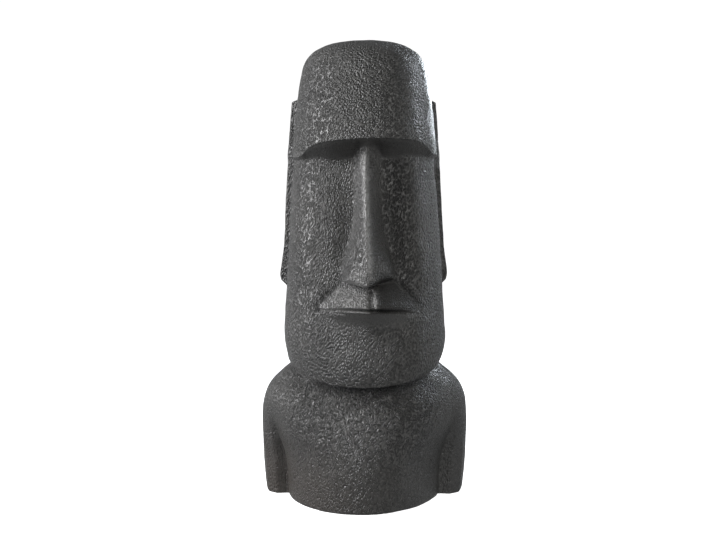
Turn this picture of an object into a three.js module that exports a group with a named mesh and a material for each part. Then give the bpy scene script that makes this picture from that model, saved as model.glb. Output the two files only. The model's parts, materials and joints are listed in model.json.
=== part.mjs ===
// A garden statue in the form of a moai: a long stone head with a heavy brow on a short torso.
// It is cast as one piece, so it is one closed solid. The shape is a loft of level rings from the
// flat base to the crown. Each ring is a rounded section, with the face, ears and arms worked into it.
//
// The two sides mirror each other, but for what a carver's hand leaves: the head is turned a little to
// the +X side, the nose's ridge and the lip's groove leave the middle, and the brow and mouth are not level.
//
// Millimetres, +Z up. The statue's body faces -Y, and +X is to the right of someone facing it.
// The origin is in the middle of the underside.

import * as THREE from 'three';
import { LoftGeometry } from 'three/addons/geometries/LoftGeometry.js';

const { smoothstep, lerp, degToRad, clamp } = THREE.MathUtils;

// Heights of the main lines, measured on the middle of the face.
const HEIGHT = 1100;
const CROWN_START = 1027;
const BROW_EDGE = 826;
const BROW_INNER = 817;
const NOSE_TIP = 538;
const MOUTH = 465;
const JAW_EDGE = 293;
const NECK_CREASE = 306;

// How far the brow's edge arches up, and how far the jaw's edge and the neck rise to the side and back.
const BROW_ARCH = 32;
const NOSE_DIP = 15;
const JAW_RISE = { side: 57, back: 71, fadesAt: 450 };
const NECK_RISE = { side: 37, back: 52, fadesAt: 154 };

// The rise of the nose's root to meet the brow, and the dip that parts the tip from the wings.
const NOSE_ROOT_RISE = 22;
const NOSE_WING = 13;

// How far the parting of the lips rises in the middle, over its half width.
const MOUTH_RISE = 8;
const MOUTH_HALF = 110;

// How far the crown draws in as it rises, carrying on the forehead's slope, and how square its profile is.
const CROWN_LEAN = 0.1;
const CROWN_SQUARE = 2.62;

// Torso: where the grooves behind the arms lie across the belly's half width, and the arms' own section.
const BACK_GROOVE_SHARE = 0.9;
const ARM = { x: 184, y: 17, backDepth: 76, setBack: -5, squareness: 3, frontTurn: -72, backTurn: 70 };
const ARM_FADE = { from: 92, to: 277 };
const BASE_ROUNDING = 2.5;

// Ears: long low slabs on the sides of the head, between these heights and depths.
const EAR = { bottom: 514, top: 961, front: -14, back: 60, wall: 5 };

// The carver's hand: the head's turn, the torso's shift to the +X side and the belly's lean to the -X side.
const HEAD_TURN = degToRad(3.3);
const TORSO_SHIFT = 3;
const BELLY_LEAN = 0.055;
const TURN = { from: 269, to: 308 };
const BROW_TILT = 0.024;
const MOUTH_TILT = -0.037;
const NOSE_TILT = 0.045;

// Columns of the loft in one half: front of the body, then arm or ear, then back.
const MUZZLE_COLUMNS = 6;
const FRONT_COLUMNS = 20;
const SIDE_COLUMNS = 7;
const BACK_COLUMNS = 6;
const HALF_COLUMNS = FRONT_COLUMNS + SIDE_COLUMNS + BACK_COLUMNS;
const NOSE_WALL = 3;

// Squareness of the rounded sections: 2 is an ellipse, more is boxier.
const SQUARE = { belly: 2.02, back: 3, shoulder: 2.08, temple: 2.4, cheek: 2.9, jaw: 2.6, forehead: 2.35 };

// ---- Curves through a few heights ----

// A smooth curve through [height, value] pairs that doesn't swing past them.
function profile(pairs) {
  const slopes = pairs.map((pair, i) => {
    const before = pairs[i - 1];
    const after = pairs[i + 1];
    if (!before || !after) return 0;
    const left = (pair[1] - before[1]) / (pair[0] - before[0]);
    const right = (after[1] - pair[1]) / (after[0] - pair[0]);
    return left * right > 0 ? (2 * left * right) / (left + right) : 0;
  });
  return (height) => {
    const h = clamp(height, pairs[0][0], pairs.at(-1)[0]);
    const i = Math.min(pairs.findLastIndex((pair) => pair[0] <= h), pairs.length - 2);
    const span = pairs[i + 1][0] - pairs[i][0];
    const t = (h - pairs[i][0]) / span;
    const ease = t * t * (3 - 2 * t);
    const leave = t * (1 - t) * (1 - t) * span * slopes[i];
    const arrive = t * t * (t - 1) * span * slopes[i + 1];
    return lerp(pairs[i][1], pairs[i + 1][1], ease) + leave + arrive;
  };
}

const bump = (value, centre, width) => Math.exp(-(((value - centre) / width) ** 2));

// Torso, by height at the front: reach to the front, side and back from the middle of the shoulders, then
// the belly's half width between the arms, and how far forward the grooves beside it lie.
const torso = {
  front: profile([
    [0, 231], [62, 232], [123, 229], [175, 220], [221, 205], [257, 187], [288, 168], [306, 152],
  ]),
  side: profile([
    [0, 247], [26, 250], [76, 254], [154, 256], [195, 255], [221, 251],
    [247, 236], [262, 217], [275, 197], [288, 174], [306, 150],
  ]),
  back: profile([[0, 137], [62, 141], [154, 142], [221, 138], [257, 132], [288, 120], [306, 104]]),
  belly: profile([[0, 190], [62, 192], [123, 200], [236, 217], [306, 217]]),
  groove: profile([[0, 58], [82, 62], [154, 76], [226, 97], [306, 112]]),
};

// Head: the same, with the face's own surface below the brow.
const head = {
  front: profile([
    [293, 226], [308, 230], [338, 232], [375, 230], [409, 226], [450, 218], [470, 211],
    [500, 201], [549, 190], [608, 181], [667, 174], [726, 170], [817, 168],
  ]),
  side: profile([
    [293, 189], [308, 193], [338, 196], [375, 196], [450, 193], [500, 190], [549, 188],
    [608, 184], [697, 179], [780, 172], [817, 169], [826, 175], [845, 174], [907, 168], [968, 161],
    [1005, 155], [1027, 151],
  ]),
  back: profile([
    [293, 101], [375, 108], [450, 115], [549, 120], [667, 123], [786, 124], [907, 119], [1027, 108],
  ]),
};

const forehead = profile([[826, 212], [864, 211], [907, 206], [968, 194], [1027, 178]]);

// How proud of the head the ears stand: most at the lobe, and again a little at the top.
const earProud = profile([
  [514, 13], [539, 17], [593, 14], [648, 13], [707, 13], [780, 16], [817, 18], [826, 12], [884, 11],
  [943, 13],
]);

// Half width of the nose, then of the folds that run from it to the corners of the mouth.
const noseHalfWidth = profile([
  [348, 60], [409, 68], [430, 80], [448, 98], [460, 109], [465, 111], [474, 112], [484, 111], [490, 107],
  [510, 89],
  [529, 72], [540, 62], [548, 59], [565, 60], [584, 55], [599, 49], [643, 38], [677, 32], [717, 30],
  [817, 29],
]);
const noseReach = profile([
  [534, 0], [538, 40], [541, 58], [546, 71], [554, 77], [571, 78], [608, 76], [667, 69], [726, 57], [786, 42],
  [817, 31],
]);
const muzzleReach = profile([
  [390, 0], [404, 3], [420, 8], [437, 18], [452, 32], [460, 42], [465, 28], [469, 51], [477, 52], [492, 49],
  [510, 42], [525, 33], [541, 19], [560, 7], [600, 0],
]);
// Slope of the rows from side to side, and how far the middle line of the face strays from the middle.
const rowTilt = profile([
  [338, 0], [439, MOUTH_TILT], [490, MOUTH_TILT], [532, NOSE_TILT], [569, NOSE_TILT], [620, 0], [746, 0],
  [817, BROW_TILT], [864, BROW_TILT], [963, 0],
]);
const middleShift = profile([[465, 0], [485, 11], [515, 11], [539, -8], [795, -8], [827, 0]]);

// ---- Sections ----

// Distance from the middle to a rounded section, at an angle from the front round to the back.
function sectionRadius(angle, { front, side, back, squareFront, squareBack }) {
  const forward = Math.cos(angle);
  const reach = forward > 0 ? front : back;
  const square = forward > 0 ? squareFront : squareBack;
  const sum = (Math.sin(angle) / side) ** square + (Math.abs(forward) / reach) ** square;
  return sum ** (-1 / square);
}

// The angle at which a section's front is x from the middle plane.
function angleAtX(x, { front, side, squareFront }) {
  const y = front * (1 - (x / side) ** squareFront) ** (1 / squareFront);
  return Math.atan2(x, y);
}

// The angle at which a section's side is y behind (or, if negative, in front of) the middle.
function angleAtY(y, { front, side, back, squareFront, squareBack }) {
  const reach = y < 0 ? front : back;
  const square = y < 0 ? squareFront : squareBack;
  const x = side * (1 - (Math.abs(y) / reach) ** square) ** (1 / square);
  return Math.atan2(x, -y);
}

function onSection(angle, section) {
  const radius = sectionRadius(angle, section);
  return new THREE.Vector2(radius * Math.sin(angle), -radius * Math.cos(angle));
}

// Spreads the half's columns between the angles given for its landmarks.
function spreadAngles(landmarks) {
  const angles = [];
  landmarks.forEach(([column, angle], i) => {
    if (i === 0) {
      angles.push(angle);
      return;
    }
    const [lastColumn, lastAngle] = landmarks[i - 1];
    for (let k = lastColumn + 1; k <= column; k++) {
      angles.push(lerp(lastAngle, angle, (k - lastColumn) / (column - lastColumn)));
    }
  });
  return angles;
}

// ---- Torso rings ----

function torsoRing(height, inset = 0) {
  const arms = 1 - smoothstep(height, ARM_FADE.from, ARM_FADE.to);
  const plain = {
    front: torso.front(height) - inset,
    side: torso.side(height) - inset,
    back: torso.back(height) - inset,
    squareFront: SQUARE.shoulder,
    squareBack: SQUARE.shoulder,
  };
  const belly = {
    ...plain,
    side: Math.min(torso.belly(height) - inset, plain.side),
    squareFront: SQUARE.belly,
    squareBack: SQUARE.back,
  };
  const mixed = { ...belly, side: lerp(plain.side, belly.side, arms) };
  const behind = { ...belly, front: belly.back, squareFront: belly.squareBack };
  const groove = angleAtY(-torso.groove(height), mixed);
  const backGroove = Math.PI - angleAtX(BACK_GROOVE_SHARE * belly.side, behind);
  const armFront = -onSection(groove, mixed).y - ARM.setBack;
  const angles = spreadAngles([
    [0, 0], [FRONT_COLUMNS, groove], [FRONT_COLUMNS + SIDE_COLUMNS, backGroove], [HALF_COLUMNS, Math.PI],
  ]);
  return angles.map((angle, k) => {
    const along = (k - FRONT_COLUMNS) / SIDE_COLUMNS;
    const onArm = along > 0 && along < 1;
    const carved = onArm ? armPoint(along, plain.side, armFront) : onSection(angle, belly);
    const point = onSection(angle, plain).lerp(carved, arms);
    return raised(point, height, angle, NECK_CREASE, NECK_RISE);
  });
}

// The arm's outline, from the groove in front (0) to the groove behind (1).
function armPoint(along, outerX, front) {
  const turn = degToRad(lerp(ARM.frontTurn, ARM.backTurn, (along * SIDE_COLUMNS - 1) / (SIDE_COLUMNS - 2)));
  const power = 2 / ARM.squareness;
  const depth = turn < 0 ? front + ARM.y : ARM.backDepth;
  const x = ARM.x + (outerX - ARM.x) * Math.cos(turn) ** power;
  const y = ARM.y + depth * Math.sign(turn) * Math.abs(Math.sin(turn)) ** power;
  return new THREE.Vector2(x, y);
}

// Lifts a ring's side and back, fully at the crease height and less away from it.
function raised(point, height, angle, crease, rise) {
  const share = smoothstep((height - rise.fadesAt) / (crease - rise.fadesAt), 0, 1);
  const side = rise.side * Math.sin(angle) ** 2;
  const back = angle > Math.PI / 2 ? rise.back * Math.cos(angle) ** 2 : 0;
  return new THREE.Vector3(point.x, point.y, height + share * (side + back));
}

// ---- Head rings ----

function headSection(height) {
  const under = height <= BROW_INNER;
  const jaw = 1 - smoothstep(height, JAW_EDGE, MOUTH);
  const temple = smoothstep(height, 600, BROW_INNER);
  return {
    front: under ? head.front(height) : forehead(height),
    side: head.side(height),
    back: head.back(height),
    squareFront: under ? lerp(lerp(SQUARE.cheek, SQUARE.jaw, jaw), SQUARE.temple, temple) : SQUARE.forehead,
    squareBack: SQUARE.forehead,
  };
}

// Columns follow the sides of the nose and the folds beside the mouth, then the ear's two edges.
function headAngles(height, section) {
  const half = noseHalfWidth(height);
  const inner = angleAtX(half - NOSE_WALL, section);
  const outer = angleAtX(half + NOSE_WALL, section);
  const earFront = angleAtY(EAR.front, section);
  const earBack = angleAtY(EAR.back, section);
  const wall = EAR.wall / section.side;
  return spreadAngles([
    [0, 0], [MUZZLE_COLUMNS - 1, inner], [MUZZLE_COLUMNS, outer], [FRONT_COLUMNS, earFront],
    [FRONT_COLUMNS + 1, earFront + wall], [FRONT_COLUMNS + SIDE_COLUMNS - 1, earBack - wall],
    [FRONT_COLUMNS + SIDE_COLUMNS, earBack], [HALF_COLUMNS, Math.PI],
  ]);
}

// How far the carving of the face stands forward of the cheek's plain section.
function faceRelief(x, height, side) {
  if (height > BROW_INNER) return 0;
  const half = noseHalfWidth(height);
  const across = Math.min(x / half, 1);
  const beside = Math.max(x - half, 0);
  const fade = 1 - smoothstep(x / side, 0.8, 0.97);
  const round = lerp(0.2, 0.55, bump(height, 552, 40));
  const ridge = round * (1 - across ** 4) ** 0.6 + (1 - round) * (1 - across);
  const wing = NOSE_WING * bump(across, 0.74, 0.17) * bump(height, 562, 20);
  const lip = 0.1 * (1 - across ** 6) ** 0.6 + 0.9 * (1 - across);
  const valley = -11 * bump(beside, 0, 42) * smoothstep(height, 480, 549);
  const socket = -7 * bump(x, 84, 40) * bump(height, 781, 50);
  return noseReach(height) * ridge + wing + (muzzleReach(height) * lip + valley + socket) * fade;
}

// The ear's height above the side of the head, by column: a raised rim round a shallow channel.
function earRelief(k, height) {
  const column = k - FRONT_COLUMNS;
  if (column <= 0 || column >= SIDE_COLUMNS) return 0;
  const foot = smoothstep(height, EAR.bottom, EAR.bottom + EAR.wall);
  const head = 1 - smoothstep(height, EAR.top - EAR.wall, EAR.top);
  const inChannel = column >= 3 && column <= SIDE_COLUMNS - 3;
  const channel = inChannel ? bump(height, (EAR.top + EAR.bottom) / 2 + 40, 170) : 0;
  return earProud(height) * foot * head * (1 - 0.4 * channel);
}

function headRing(height) {
  const section = headSection(height);
  return headAngles(height, section).map((angle, k) => {
    const point = onSection(angle, section);
    point.y -= faceRelief(point.x, height, section.side) * (angle < Math.PI / 2 ? 1 : 0);
    point.x += earRelief(k, height);
    const ring = raised(point, height, angle, JAW_EDGE, JAW_RISE);
    ring.z += browLift(height, angle) + noseRise(point.x, height) + mouthLift(point.x, height);
    return ring;
  });
}

// The brow's edge arches up over the middle of the face.
function browLift(height, angle) {
  if (height <= BROW_INNER || angle > Math.PI / 2) return 0;
  return BROW_ARCH * Math.cos(angle) ** 1.2 * (1 - smoothstep(height, BROW_EDGE, BROW_EDGE + 110));
}

// The nose's root rises to meet the brow, and its tip hangs lower than its wings.
function noseRise(x, height) {
  const nearBrow = smoothstep(height, 760, BROW_INNER);
  const root = height > BROW_INNER ? 0 : NOSE_ROOT_RISE * (1 - smoothstep(x, 22, 38)) * nearBrow;
  return root - NOSE_DIP * bump(x, 0, 30) * bump(height, NOSE_TIP + 8, 20);
}

// The parting of the lips rises towards the middle, where the lips stand furthest forward.
function mouthLift(x, height) {
  return MOUTH_RISE * bump(height, MOUTH, 30) * Math.max(1 - (x / MOUTH_HALF) ** 2, 0);
}

// The crown: rings that close in like a rounded lid.
function crownRing(share) {
  const section = headSection(CROWN_START);
  const scale = (1 - share ** CROWN_SQUARE) ** (1 / CROWN_SQUARE) * (1 - CROWN_LEAN * share);
  const angles = headAngles(CROWN_START, section);
  return angles.map((angle) => {
    const point = onSection(angle, section).multiplyScalar(scale);
    return new THREE.Vector3(point.x, point.y, lerp(CROWN_START, HEIGHT, share));
  });
}

// ---- Loft ----

// The underside of the jaw, between the neck's crease and the jaw's edge.
function undersideRing(share) {
  const neck = torsoRing(NECK_CREASE);
  const jaw = headRing(JAW_EDGE);
  return neck.map((point, k) => point.clone().lerp(jaw[k], share));
}

const TORSO_HEIGHTS = [3, 23, 53, 82, 111, 139, 164, 188, 210, 229, 247, 262, 275, 288, 298, NECK_CREASE];
const UNDERSIDE_SHARES = [0.35, 0.7, 0.95];
const FACE_HEIGHTS = [
  JAW_EDGE, 297, 308, 328, 353, 379, 402, 420, 434, 446, 454, 460, 463, MOUTH, 467, 471, 481, 497, 510, 523,
  532, 536, NOSE_TIP, 541, 546, 555, 568, 588, 612, 640, 667, 697, 726, 754, 779, 800, BROW_INNER,
];
const FOREHEAD_HEIGHTS = [BROW_EDGE, 830, 843, 866, 897, 928, 955, 961, 980, 1004, CROWN_START];
const CROWN_SHARES = [0.22, 0.42, 0.6, 0.75, 0.87, 0.95, 0.99];

const levels = [
  { height: 0, half: torsoRing(0, BASE_ROUNDING) },
  ...TORSO_HEIGHTS.map((height) => ({ height, half: torsoRing(height) })),
  ...UNDERSIDE_SHARES.map((share) => ({ height: NECK_CREASE, half: undersideRing(share) })),
  ...FACE_HEIGHTS.map((height) => ({ height, half: headRing(height) })),
  ...FOREHEAD_HEIGHTS.map((height) => ({ height, half: headRing(height) })),
  ...CROWN_SHARES.map((share) => ({ height: CROWN_START, half: crownRing(share) })),
];

// A full ring: the half from front to back on +X, then its mirror image back to the front.
function fullRing({ height, half }) {
  const mirrored = half.slice(1, -1).reverse().map((p) => new THREE.Vector3(-p.x, p.y, p.z));
  return [...half, ...mirrored].map((p) => carvedByHand(p, height));
}

// Moves a point off the mirrored shape: the face's middle line, the slope of its rows, the turn of the head.
function carvedByHand(point, height) {
  const inFront = Math.max(-point.y, 0);
  const onHead = smoothstep(height, TURN.from, TURN.to);
  const across = Math.min(Math.abs(point.x) / noseHalfWidth(height), 1);
  const moved = point.clone();
  moved.x += middleShift(height) * (1 - across ** 2) * (inFront > 0 ? 1 : 0);
  moved.x += (TORSO_SHIFT - BELLY_LEAN * inFront) * (1 - onHead);
  moved.z += rowTilt(height) * moved.x * smoothstep(inFront, 0, 60);
  return moved.applyAxisAngle(new THREE.Vector3(0, 0, 1), HEAD_TURN * onHead);
}

function statueGeometry() {
  const geometry = new LoftGeometry(levels.map(fullRing), { capStart: true, capEnd: true });
  geometry.computeBoundingBox();
  const { min, max } = geometry.boundingBox;
  return geometry.translate(-(min.x + max.x) / 2, -(min.y + max.y) / 2, -min.z);
}

const darkStone = new THREE.MeshStandardMaterial({ color: 0x4a4947, roughness: 0.62, metalness: 0 });

const statue = new THREE.Mesh(statueGeometry(), darkStone);
statue.name = 'moai_statue';

const group = new THREE.Group();
group.add(statue);

export default group;
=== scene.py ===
import json
import math

import bpy
from mathutils import Matrix, Vector

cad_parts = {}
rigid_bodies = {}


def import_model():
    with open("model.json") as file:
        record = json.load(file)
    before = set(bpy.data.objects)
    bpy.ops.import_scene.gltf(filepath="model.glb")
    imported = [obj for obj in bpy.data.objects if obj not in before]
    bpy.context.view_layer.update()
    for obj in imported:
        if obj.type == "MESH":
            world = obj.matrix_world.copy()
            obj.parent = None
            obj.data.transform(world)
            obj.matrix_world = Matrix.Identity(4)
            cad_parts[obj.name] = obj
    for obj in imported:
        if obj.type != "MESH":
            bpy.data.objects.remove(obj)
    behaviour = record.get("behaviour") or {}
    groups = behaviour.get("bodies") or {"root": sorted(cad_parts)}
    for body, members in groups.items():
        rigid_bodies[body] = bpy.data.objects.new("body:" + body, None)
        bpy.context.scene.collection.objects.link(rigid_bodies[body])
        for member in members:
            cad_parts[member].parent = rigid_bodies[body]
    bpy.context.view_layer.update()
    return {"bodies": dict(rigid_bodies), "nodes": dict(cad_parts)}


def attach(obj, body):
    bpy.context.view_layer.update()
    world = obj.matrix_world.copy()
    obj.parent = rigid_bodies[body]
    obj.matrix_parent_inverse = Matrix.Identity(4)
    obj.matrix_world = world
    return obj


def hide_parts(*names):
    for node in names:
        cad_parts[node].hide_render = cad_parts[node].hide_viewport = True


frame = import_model()

# The middle of the head and shoulders, seen from above, and the head's turn to the +X side.
AXIS = Vector((-0.0022, 0.0619, 0.0))
HEAD_TURN = math.radians(3.3)

# Heights on the face, in metres.
JAW_EDGE = 0.293
MOUTH = 0.465
NOSE_TIP = 0.538
BROW_INNER = 0.817
BROW_EDGE = 0.826

# The brow's edge rises in an arch over the middle, and the +X end of the brow is the higher one.
BROW_ARCH = 0.032
BROW_TILT = 0.024
# Where its ends meet the cheeks, in degrees from straight ahead, and how far below the middle.
BROW_END = 53.5
BROW_FALL = 0.038

# The middle of the nose, the ridge at its tip where a highlight is painted, and how far the ridge leans
# per metre of height.
NOSE_ACROSS = -0.006
RIDGE_ACROSS = -0.0015
RIDGE_LEAN = 0.03


def ease(value, low, high):
    """0 below low, 1 above high, and a smooth step between."""
    t = min(max((value - low) / (high - low), 0.0), 1.0)
    return t * t * (3 - 2 * t)


def hump(value, centre, width):
    """1 at the centre, fading to nothing about two widths away."""
    return math.exp(-(((value - centre) / width) ** 2))


def select_only(piece):
    bpy.ops.object.select_all(action="DESELECT")
    piece.select_set(True)
    bpy.context.view_layer.objects.active = piece


def on_head(place):
    """A point as (across, forward, height) from the head's own middle."""
    turned = Matrix.Rotation(-HEAD_TURN, 3, "Z") @ (place - AXIS)
    return turned.x, -turned.y, place.z


def from_head(across, forward, height):
    """The place of a point given from the head's own middle."""
    return Matrix.Rotation(HEAD_TURN, 3, "Z") @ Vector((across, -forward, height)) + AXIS


def brow_angle(across, forward):
    """The angle of a point round the head, in degrees from straight ahead."""
    return math.degrees(math.atan2(abs(across), forward))


def pick(piece, kind, chosen):
    """Selects the elements of one kind for which chosen(element) is true."""
    select_only(piece)
    bpy.ops.object.mode_set(mode="EDIT")
    bpy.ops.mesh.select_mode(type=kind)
    bpy.ops.mesh.select_all(action="DESELECT")
    bpy.ops.object.mode_set(mode="OBJECT")
    skin = piece.data
    for part in {"VERT": skin.vertices, "EDGE": skin.edges, "FACE": skin.polygons}[kind]:
        part.select = chosen(part)
    bpy.ops.object.mode_set(mode="EDIT")


# ---- The cast ----

def lower_brow_ends(cast):
    """Brings the ends of the brow's edge down to the cheeks, where it runs out."""
    step = 0.0005
    moves = {}
    for vertex in cast.data.vertices:
        across, forward, height = on_head(vertex.co)
        height -= BROW_TILT * across
        if forward < 0 or not BROW_INNER + 0.0045 < height < BROW_EDGE + 0.16:
            continue
        angle = brow_angle(across, forward)
        edge = BROW_EDGE + BROW_ARCH * math.cos(math.radians(angle)) ** 1.2
        arched = BROW_EDGE + BROW_ARCH - BROW_FALL * (angle / BROW_END) ** 3.5
        wanted = max(arched, BROW_INNER + 0.005)
        drop = max(edge - wanted, 0) * (1 - ease(height - edge, 0, 0.10))
        if drop > step / 2:
            moves.setdefault(round(drop / step), set()).add(vertex.index)
    for steps, moved in moves.items():
        pick(cast, "VERT", lambda vertex: vertex.index in moved)
        bpy.ops.transform.translate(value=(0, 0, -steps * step))
        bpy.ops.object.mode_set(mode="OBJECT")


def soften_folds(cast):
    """Takes the crease off the nose, off the inner corner under the brow and off the temples."""
    skin = cast.data
    faces_of = {}
    for face in skin.polygons:
        for key in face.edge_keys:
            faces_of.setdefault(key, []).append((face.center.copy(), face.normal.copy()))

    def chosen(edge):
        ends = [skin.vertices[index].co for index in edge.vertices]
        across, forward, height = on_head((ends[0] + ends[1]) / 2)
        (centre, normal), (other, _) = (faces_of[edge.key] * 2)[:2]
        hollow = (other - centre).dot(normal) > 0
        from_nose = abs(across - NOSE_ACROSS)
        nose = from_nose < 0.075 and forward > 0.17 and 0.53 < height < 0.80
        corner = hollow and from_nose < 0.085 and forward > 0.05 and 0.76 < height < 0.88
        temple = brow_angle(across, forward) > 53 and forward > 0 and 0.79 < height < 0.87
        return nose or corner or temple

    pick(cast, "EDGE", chosen)
    bpy.ops.transform.edge_crease(value=-1.0)
    bpy.ops.object.mode_set(mode="OBJECT")


def cast_from_solid():
    """A copy of the modelled solid with its facets smoothed into a fine skin."""
    solid = frame["nodes"]["moai_statue"]
    cast = solid.copy()
    cast.data = solid.data.copy()
    cast.name = cast.data.name = "statue"
    for key in list(cast.keys()):
        del cast[key]
    cast.parent = None
    cast.data.materials.clear()
    bpy.context.scene.collection.objects.link(cast)
    select_only(cast)
    bpy.ops.object.mode_set(mode="EDIT")
    bpy.ops.mesh.select_all(action="SELECT")
    bpy.ops.mesh.remove_doubles(threshold=0.00005)
    bpy.ops.mesh.tris_convert_to_quads(
        face_threshold=math.radians(60), shape_threshold=math.radians(60)
    )
    bpy.ops.mesh.normals_make_consistent(inside=False)
    bpy.ops.mesh.select_mode(type="EDGE")
    bpy.ops.mesh.select_all(action="DESELECT")
    bpy.ops.mesh.edges_select_sharp(sharpness=math.radians(30))
    bpy.ops.transform.edge_crease(value=0.7)
    bpy.ops.object.mode_set(mode="OBJECT")
    soften_folds(cast)
    lower_brow_ends(cast)
    smoothing = cast.modifiers.new("smoothing", "SUBSURF")
    smoothing.levels = smoothing.render_levels = 2
    bpy.ops.object.modifier_apply(modifier=smoothing.name)
    bpy.ops.object.shade_smooth()
    return cast


statue = cast_from_solid()


# ---- Carving ----

def refine(piece, left, right, low, high, cuts):
    """Divides the skin of the face more finely between two sides and two heights."""
    def chosen(face):
        across, forward, height = on_head(face.center)
        return left < across < right and low < height < high and forward > 0.12

    pick(piece, "FACE", chosen)
    bpy.ops.mesh.subdivide(number_cuts=cuts)
    bpy.ops.object.mode_set(mode="OBJECT")


def press(piece, path, width, reach, push):
    """Pushes the front's skin that lies within a width of the path, fading out over the reach."""
    def chosen(vertex):
        if vertex.co.y > 0 or vertex.normal.y > 0.1:
            return False
        for start, end in zip(path, path[1:]):
            run = end - start
            share = min(max((vertex.co - start).xz.dot(run.xz) / run.xz.length_squared, 0), 1)
            if (vertex.co - start - run * share).xz.length < width:
                return True
        return False

    pick(piece, "VERT", chosen)
    bpy.ops.transform.translate(
        value=push, use_proportional_edit=True, proportional_edit_falloff="SMOOTH", proportional_size=reach
    )
    bpy.ops.object.mode_set(mode="OBJECT")


def round_tip(piece):
    """Rubs the tip and the wings of the nose round."""
    def chosen(vertex):
        across, forward, height = on_head(vertex.co)
        return abs(across - NOSE_ACROSS) < 0.07 and forward > 0.20 and 0.532 < height < 0.62

    pick(piece, "VERT", chosen)
    bpy.ops.mesh.vertices_smooth(factor=0.5, repeat=8)
    bpy.ops.object.mode_set(mode="OBJECT")


def lip_groove(piece):
    """The groove from under the nose to the mouth, a little to the +X side of the middle."""
    refine(piece, -0.012, 0.022, 0.472, 0.520, 2)
    press(
        piece,
        [from_head(0.003, 0.26, 0.480), from_head(0.002, 0.26, 0.508)],
        width=0.003,
        reach=0.011,
        push=(0.001, 0.008, 0),
    )


def mouth_line(piece):
    """The thin line of the mouth, kept crisp out to its corners."""
    refine(piece, -0.125, 0.115, MOUTH - 0.003, MOUTH + 0.008, 2)
    press(
        piece,
        [from_head(-0.112, 0.2, MOUTH + 0.003), from_head(-0.06, 0.24, MOUTH + 0.001)],
        width=0.0015,
        reach=0.005,
        push=(0, 0.004, 0),
    )


refine(statue, -0.025, 0.02, 0.56, 0.80, 1)
round_tip(statue)
mouth_line(statue)
lip_groove(statue)


def weather(piece):
    """Low lumps and dents that keep the broad faces from being quite even."""
    for name, size, depth in (("broad dents", 0.085, 0.0032), ("small lumps", 0.026, 0.0014)):
        pattern = bpy.data.textures.new(name, "CLOUDS")
        pattern.noise_scale = size
        pattern.noise_depth = 1
        dents = piece.modifiers.new(name, "DISPLACE")
        dents.texture = pattern
        dents.texture_coords = "LOCAL"
        dents.strength = depth
        dents.mid_level = 0.5
        bpy.context.view_layer.objects.active = piece
        bpy.ops.object.modifier_apply(modifier=dents.name)


weather(statue)


# ---- Where the tools left their marks, and where highlights and shade are painted ----

def marks_and_painted_light(place, normal):
    """How strongly each kind of mark, the painted highlight and the painted shade show at a point, as a
    dictionary of numbers from 0 to 1.
    """
    across, forward, height = on_head(place)
    head = ease(height, JAW_EDGE - 0.012, JAW_EDGE + 0.01)
    front = ease(forward, -0.02, 0.05)
    above_brow = ease(height, BROW_EDGE - 0.015, BROW_EDGE + 0.01)
    face = head * (1 - above_brow)
    # The upper lip narrows towards the nose, and the nose widens from the brow down to its wings.
    lip_half = min(0.123 - 0.93 * (height - MOUTH), 0.112)
    nose_half = 0.03 + 0.04 * ease(0.80 - height, 0.0, 0.25)
    lip = face * front * ease(height, MOUTH + 0.001, MOUTH + 0.004)
    lip *= 1 - ease(height, NOSE_TIP + 0.015, NOSE_TIP + 0.03)
    lip *= 1 - ease(abs(across), lip_half - 0.002, lip_half + 0.002)
    band = face * front * hump(height, MOUTH - 0.012, 0.02)
    band *= 1 - ease(abs(across), 0.06, 0.115)
    nose = face * front * ease(height, NOSE_TIP - 0.005, NOSE_TIP + 0.01)
    nose *= 1 - ease(abs(across), nose_half, nose_half + 0.012)
    ear = head * (1 - front) * ease(abs(normal.x), 0.3, 0.7)
    chest = (1 - head) * front * (0.4 + 0.6 * ease(height, 0.05, 0.2))
    chest *= 1 - ease(abs(place.x - AXIS.x), 0.15, 0.2)
    ridge = RIDGE_ACROSS - RIDGE_LEAN * (height - NOSE_TIP - 0.017)
    face_strokes = face * (1 - lip) * (1 - 0.85 * band) * (1 - 0.25 * nose) * (1 - 0.4 * ear)
    body_strokes = (1 - head) * (0.45 + 0.35 * ease(height, 0.18, 0.27))
    return {
        "flecks": head * above_brow,
        "strokes": max(face_strokes, body_strokes),
        "pits": lip * (1 - 0.7 * ease(across, 0.012, 0.03)),
        "waves": chest,
        # Painted highlight: the left face of the upper lip, a bright wall in the groove under the nose and
        # a strip down the nose's ridge are made lighter in colour, standing in for the light from the
        # left.
        "painted_highlight": max(
            0.55 * lip * (1 - ease(across, -0.006, 0.002)),
            lip * hump(across, 0.011, 0.0045) * hump(height, 0.492, 0.015),
            0.85 * nose * hump(across, ridge, 0.008),
        ),
        # Painted shade: darker in the hollow beside the upper lip, on the lip's +X side and on both sides
        # of the nose, where shade and the nose's shadow fall.
        "painted_shade": max(
            face * front * hump(abs(across) - lip_half - 0.012, 0, 0.012) * hump(height, 0.50, 0.035),
            0.75 * lip * ease(across, 0.014, 0.026),
            0.6 * face * front * hump(abs(across), 0.07, 0.03) * ease(height, 0.50, 0.60),
        ),
        "warmth": (1 - head) * ease(0.22 - height, 0, 0.2) * ease(-place.x, -0.12, 0.15),
    }


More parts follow.
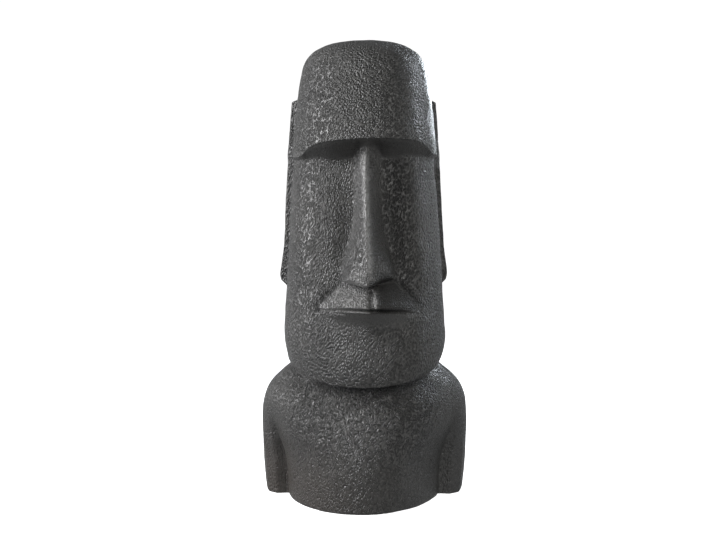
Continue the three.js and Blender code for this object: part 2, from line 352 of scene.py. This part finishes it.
def keep_marks(piece):
    """Stores the marks, the painted highlight and the painted shade on the piece's points, for its finish
    to read.
    """
    rows = []
    for vertex in piece.data.vertices:
        marks = marks_and_painted_light(vertex.co, vertex.normal)
        across, forward, height = on_head(vertex.co)
        overhung = ease(-vertex.normal.z, 0.3, 0.6) * (1 - ease(brow_angle(across, forward), 48, 56))
        for name in ("flecks", "strokes", "pits", "waves"):
            marks[name] *= 1 - 0.9 * overhung
        # Painted shade under the brow: its down-facing underside is darkened where it lies in shade.
        if height > 0.75:
            marks["painted_shade"] = max(marks["painted_shade"], 0.5 * overhung)
        rows.append(marks)
    for name in rows[0]:
        layer = piece.data.attributes.new(name, "FLOAT", "POINT")
        layer.data.foreach_set("value", [row[name] for row in rows])


keep_marks(statue)


# ---- Finish ----

class Finish:
    """Builds one procedural finish, node by node."""

    def __init__(self, name):
        self.material = bpy.data.materials.new(name)
        self.material.use_nodes = True
        self.tree = self.material.node_tree
        self.tree.nodes.clear()
        self.shader = self.node("ShaderNodeBsdfPrincipled")
        out = self.node("ShaderNodeOutputMaterial")
        self.link(self.shader.outputs["BSDF"], out.inputs["Surface"])
        self.place = self.node("ShaderNodeTexCoord").outputs["Object"]

    def node(self, kind, **settings):
        made = self.tree.nodes.new(kind)
        for key, value in settings.items():
            setattr(made, key, value)
        return made

    def link(self, source, target):
        self.tree.links.new(source, target)

    def put(self, value, target):
        """A number is set on the socket, and an output is linked to it."""
        if isinstance(value, bpy.types.NodeSocket):
            self.link(value, target)
        else:
            target.default_value = value

    def math(self, operation, first, second=0.0):
        made = self.node("ShaderNodeMath", operation=operation)
        self.put(first, made.inputs[0])
        self.put(second, made.inputs[1])
        return made.outputs[0]

    def along(self, size, lean, source):
        """Coordinates with one unit to each size in X, Y and Z, turned about Y by a lean in degrees."""
        made = self.node("ShaderNodeMapping", vector_type="TEXTURE")
        self.link(source, made.inputs["Vector"])
        made.inputs["Rotation"].default_value = (0, math.radians(lean), 0)
        made.inputs["Scale"].default_value = size
        return made.outputs["Vector"]

    def noise(self, vector, scale, detail=2.0, roughness=0.5, distortion=0.0):
        made = self.node("ShaderNodeTexNoise")
        self.link(vector, made.inputs["Vector"])
        made.inputs["Scale"].default_value = scale
        made.inputs["Detail"].default_value = detail
        made.inputs["Roughness"].default_value = roughness
        made.inputs["Distortion"].default_value = distortion
        return made

    def cells(self, vector):
        made = self.node("ShaderNodeTexVoronoi", feature="F1")
        self.link(vector, made.inputs["Vector"])
        made.inputs["Scale"].default_value = 1.0
        made.inputs["Randomness"].default_value = 0.8
        return made.outputs["Distance"]

    def stretch(self, value, from_low, from_high, to_low=0.0, to_high=1.0):
        made = self.node("ShaderNodeMapRange", interpolation_type="SMOOTHSTEP")
        self.put(value, made.inputs["Value"])
        made.inputs["From Min"].default_value = from_low
        made.inputs["From Max"].default_value = from_high
        made.inputs["To Min"].default_value = to_low
        made.inputs["To Max"].default_value = to_high
        return made.outputs["Result"]

    def kept(self, name):
        made = self.node("ShaderNodeAttribute", attribute_type="GEOMETRY", attribute_name=name)
        return made.outputs["Fac"]

    def wander(self, amount, scale):
        """The place, moved about a little by soft noise."""
        drift = self.noise(self.place, scale, detail=1.0).outputs["Color"]
        centred = self.node("ShaderNodeVectorMath", operation="SUBTRACT")
        self.link(drift, centred.inputs[0])
        centred.inputs[1].default_value = (0.5, 0.5, 0.5)
        made = self.node("ShaderNodeVectorMath", operation="MULTIPLY_ADD")
        self.link(centred.outputs[0], made.inputs[0])
        made.inputs[1].default_value = (amount,) * 3
        self.link(self.place, made.inputs[2])
        return made.outputs[0]

    def mix(self, share, first, second):
        made = self.node("ShaderNodeMix", data_type="RGBA")
        self.put(share, made.inputs["Factor"])
        self.put(first, made.inputs["A"])
        self.put(second, made.inputs["B"])
        return made.outputs["Result"]


def dark_stone():
    """Cast stone with a dark, slightly glossy patina over tooling left by a point chisel, with painted
    shade in its hollows and creases and painted highlights on its tops and ridges.
    """
    f = Finish("dark_stone")
    wandering = f.wander(0.0035, 90)

    flecks = f.stretch(f.cells(f.along((0.0041, 0.0041, 0.0062), 38, wandering)), 0.05, 0.75)
    strokes = f.stretch(f.cells(f.along((0.0038, 0.0038, 0.0080), 17, wandering)), 0.05, 0.75)
    pits = f.stretch(f.cells(f.along((0.0044, 0.0044, 0.0044), 0, wandering)), 0.08, 0.7)
    wavy = f.noise(f.along((0.0095, 0.0095, 0.016), 20, wandering), 1.0, detail=1.0, distortion=1.2)
    waves = f.stretch(f.math("ABSOLUTE", f.math("SUBTRACT", wavy.outputs["Fac"], 0.5)), 0.0, 0.09)
    grain = f.noise(f.place, 330, detail=3.0, roughness=0.6).outputs["Fac"]
    lumps = f.noise(f.place, 75, detail=2.0, roughness=0.55).outputs["Fac"]

    # The relief is in metres. The tops run from 0 in the hollows to 1, and plain stone is in between.
    relief = f.math("MULTIPLY", lumps, 0.0014)
    relief = f.math("ADD", relief, f.math("MULTIPLY", grain, 0.0010))
    tops = f.math("ADD", f.math("MULTIPLY", grain, 0.35), 0.33)
    for pattern, mark, depth in (
        (flecks, "flecks", 0.0034),
        (strokes, "strokes", 0.0034),
        (pits, "pits", 0.0040),
        (waves, "waves", 0.0036),
    ):
        shown = f.math("MULTIPLY", f.kept(mark), pattern)
        relief = f.math("ADD", relief, f.math("MULTIPLY", shown, depth))
        tops = f.math("ADD", tops, f.math("MULTIPLY", shown, 0.65))
        tops = f.math("SUBTRACT", tops, f.math("MULTIPLY", f.kept(mark), 0.33))

    bump = f.node("ShaderNodeBump")
    bump.inputs["Strength"].default_value = 1.0
    bump.inputs["Distance"].default_value = 1.0
    f.link(relief, bump.inputs["Height"])
    f.link(bump.outputs["Normal"], f.shader.inputs["Normal"])

    # The black of the painted shade, used beside the lip and the nose, under the brow and in the hollows
    # of the tool marks.
    shade_black = (0.012, 0.012, 0.012, 1)
    cloud = f.stretch(f.noise(f.place, 9, detail=3.0).outputs["Fac"], 0.35, 0.65)
    stone = f.mix(cloud, (0.046, 0.0455, 0.0445, 1), (0.062, 0.061, 0.0585, 1))
    stone = f.mix(f.math("MULTIPLY", f.kept("warmth"), 0.7), stone, (0.068, 0.056, 0.047, 1))
    stone = f.mix(f.stretch(grain, 0.45, 0.75, 0.0, 0.35), stone, (0.13, 0.128, 0.125, 1))
    # Painted highlight: lighter on the lip's left face, on the groove's wall and along the nose's ridge.
    stone = f.mix(f.kept("painted_highlight"), stone, (0.32, 0.317, 0.313, 1))
    # Painted shade beside the lip and the nose and under the brow.
    stone = f.mix(f.math("MULTIPLY", f.kept("painted_shade"), 0.65), stone, shade_black)
    # The hollows of the tool marks are darkened with painted shade, and their tops are lightened with a
    # painted highlight.
    stone = f.mix(f.stretch(tops, 0.15, 0.6, 0.55, 0.0), stone, shade_black)
    stone = f.mix(f.stretch(tops, 0.5, 1.0, 0.0, 0.28), stone, (0.17, 0.168, 0.166, 1))
    f.link(stone, f.shader.inputs["Base Color"])
    patches = f.noise(f.place, 160, detail=2.0).outputs["Fac"]
    f.link(f.stretch(patches, 0.3, 0.7, 0.27, 0.42), f.shader.inputs["Roughness"])
    f.link(f.stretch(f.kept("painted_shade"), 0.0, 1.0, 0.6, 0.2), f.shader.inputs["Specular IOR Level"])
    return f.material


statue.data.materials.append(dark_stone())
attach(statue, next(iter(frame["bodies"])))
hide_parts("moai_statue")


# ---- Stage, light and camera ----

# How bright the world is as the camera sees it, and how much light its floor and the rest give.
SEEN_GLOW = 1.05
FLOOR_GLOW = 0.35
ROOM_GLOW = 0.18

# The point that the lamps face.
LIT_POINT = Vector((0, 0, 0.6))

# Where the camera stands, and how many degrees it looks down and to the -X side.
CAMERA_PLACE = (0, -2.456, 0.740)
CAMERA_DOWN = 4.415
CAMERA_TURN = 0.379


def stage_floor():
    bpy.ops.object.select_all(action="DESELECT")
    bpy.ops.mesh.primitive_plane_add(size=60, location=(0, 0, -0.0005))
    floor = bpy.context.active_object
    floor.name = "floor"
    f = Finish("pale_floor")
    f.shader.inputs["Base Color"].default_value = (0.9, 0.9, 0.9, 1)
    f.shader.inputs["Roughness"].default_value = 0.9
    f.shader.inputs["Specular IOR Level"].default_value = 0.1
    f.shader.inputs["Emission Color"].default_value = (1, 1, 1, 1)
    f.shader.inputs["Emission Strength"].default_value = 1.0
    floor.data.materials.append(f.material)
    floor.visible_diffuse = False
    floor.visible_glossy = False


def softbox(name, place, size, power, colour):
    bpy.ops.object.light_add(type="AREA", location=place)
    lamp = bpy.context.active_object
    lamp.name = name
    lamp.data.shape = "RECTANGLE"
    lamp.data.size, lamp.data.size_y = size
    lamp.data.energy = power
    lamp.data.color = colour
    toward = LIT_POINT - Vector(place)
    lamp.rotation_euler = toward.to_track_quat("-Z", "Y").to_euler()


stage_floor()
softbox("left", (-2.23, -0.35, 1.44), (0.9, 1.6), 84, (0.985, 0.985, 1.0))
softbox("front", (0.84, -2.30, 1.51), (1.2, 1.2), 24, (1.0, 0.985, 0.95))
softbox("rim", (1.61, 1.51, 1.79), (0.35, 0.5), 12, (0.86, 0.93, 1.0))
softbox("back", (0.89, 2.20, 1.39), (0.4, 0.6), 14, (0.86, 0.93, 1.0))
softbox("right edge", (2.19, 1.16, 0.97), (0.5, 1.4), 8, (0.9, 0.95, 1.0))


def room():
    """White all round for the eye, and a dim room with a brighter floor for the light."""
    world = bpy.data.worlds.new("room")
    bpy.context.scene.world = world
    world.use_nodes = True
    tree = world.node_tree
    tree.nodes.clear()
    seen = tree.nodes.new("ShaderNodeBackground")
    seen.inputs["Color"].default_value = (1, 1, 1, 1)
    seen.inputs["Strength"].default_value = SEEN_GLOW
    split = tree.nodes.new("ShaderNodeSeparateXYZ")
    tree.links.new(tree.nodes.new("ShaderNodeTexCoord").outputs["Generated"], split.inputs["Vector"])
    upward = tree.nodes.new("ShaderNodeMapRange")
    tree.links.new(split.outputs["Z"], upward.inputs["Value"])
    upward.inputs["From Min"].default_value = -0.25
    upward.inputs["From Max"].default_value = 0.05
    upward.inputs["To Min"].default_value = FLOOR_GLOW
    upward.inputs["To Max"].default_value = ROOM_GLOW
    lighting = tree.nodes.new("ShaderNodeBackground")
    lighting.inputs["Color"].default_value = (0.97, 0.985, 1, 1)
    tree.links.new(upward.outputs["Result"], lighting.inputs["Strength"])
    rays = tree.nodes.new("ShaderNodeLightPath")
    choose = tree.nodes.new("ShaderNodeMixShader")
    out = tree.nodes.new("ShaderNodeOutputWorld")
    tree.links.new(rays.outputs["Is Camera Ray"], choose.inputs["Fac"])
    tree.links.new(lighting.outputs["Background"], choose.inputs[1])
    tree.links.new(seen.outputs["Background"], choose.inputs[2])
    tree.links.new(choose.outputs["Shader"], out.inputs["Surface"])


room()

bpy.ops.object.camera_add(
    location=CAMERA_PLACE, rotation=(math.radians(90 - CAMERA_DOWN), 0, math.radians(CAMERA_TURN))
)
camera = bpy.context.active_object
camera.name = "camera"
camera.data.sensor_width = 36
camera.data.lens = 51.34
bpy.context.scene.camera = camera
bpy.context.scene.view_settings.view_transform = "Standard"
